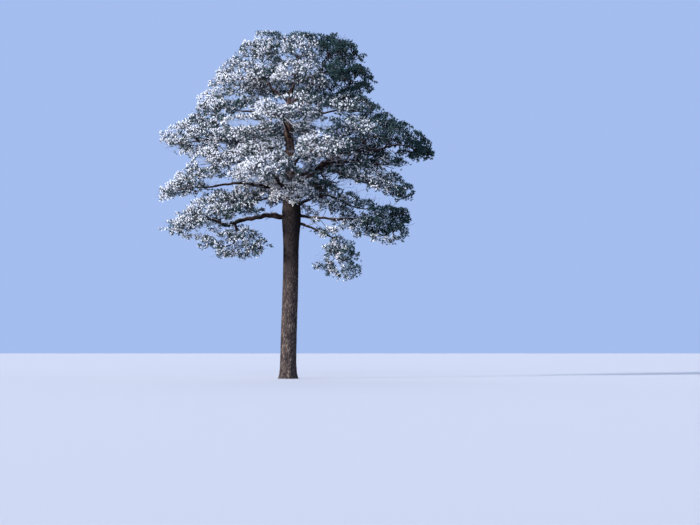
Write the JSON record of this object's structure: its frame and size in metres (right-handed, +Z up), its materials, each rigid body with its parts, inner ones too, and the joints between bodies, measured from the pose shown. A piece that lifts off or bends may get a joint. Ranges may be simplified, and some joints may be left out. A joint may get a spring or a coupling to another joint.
{
  "type": "scots pine tree",
  "caption": "Old open-grown Scots pine: tall clean bole, crooked boughs and a broad domed crown of layered needle masses, white with rime on one side.",
  "frame": {"origin": "middle of the flat cut under the trunk, at ground level, where the tree is rooted", "axes": "+Z up the trunk, +X to the right of the crown as pictured, +Y away from that view"},
  "size_m": [13.7275, 10.5722, 17.4],
  "materials": {
    "trunk_bark": "thick grey-brown plates between dark fissures, dry",
    "bough_bark": "thin flaking bark, dull red-brown, rime on its upper side",
    "rimed_needles": "matt needles coated with white rime",
    "green_needles": "dull blue-green needles with a little rime"
  },
  "bodies": {
    "root": {"trunk": "trunk_bark", "bough_back_high": "bough_bark", "bough_back_left": "bough_bark", "bough_back_low": "bough_bark", "bough_back_right": "bough_bark", "bough_front_high": "bough_bark", "bough_front_low": "bough_bark", "bough_front_middle": "bough_bark", "bough_left_crest": "bough_bark", "bough_left_high": "bough_bark", "bough_left_lowest": "bough_bark", "bough_left_middle": "bough_bark", "bough_left_rising": "bough_bark", "bough_left_upper": "bough_bark", "bough_right_crest": "bough_bark", "bough_right_droop": "bough_bark", "bough_right_high": "bough_bark", "bough_right_low": "bough_bark", "bough_right_lower": "bough_bark", "bough_right_lowest": "bough_bark", "bough_right_main": "bough_bark", "bough_right_outer": "bough_bark", "bough_right_shoulder": "bough_bark", "mass_back_crown_left": "rimed_needles", "mass_back_crown_right": "green_needles", "mass_back_left": "rimed_needles", "mass_back_left_low": "rimed_needles", "mass_back_low": "rimed_needles", "mass_back_middle": "rimed_needles", "mass_back_right": "green_needles", "mass_back_right_low": "green_needles", "mass_centre_high": "rimed_needles", "mass_centre_left": "rimed_needles", "mass_centre_low": "rimed_needles", "mass_centre_upper": "rimed_needles", "mass_front_high": "rimed_needles", "mass_front_left": "rimed_needles", "mass_front_right": "rimed_needles", "mass_left_crest": "rimed_needles", "mass_left_hanging": "rimed_needles", "mass_left_inner": "rimed_needles", "mass_left_outer": "rimed_needles", "mass_left_shelf": "rimed_needles", "mass_left_shoulder": "rimed_needles", "mass_left_upper": "rimed_needles", "mass_left_wing": "rimed_needles", "mass_right_crest": "green_needles", "mass_right_droop": "rimed_needles", "mass_right_hanging": "green_needles", "mass_right_inner": "rimed_needles", "mass_right_ledge": "green_needles", "mass_right_low": "green_needles", "mass_right_low_inner": "green_needles", "mass_right_low_outer": "green_needles", "mass_right_outer": "green_needles", "mass_right_shoulder": "rimed_needles", "mass_right_upper": "green_needles", "mass_top": "rimed_needles", "mass_top_left": "rimed_needles", "mass_top_right": "green_needles"}
  },
  "joints": []
}
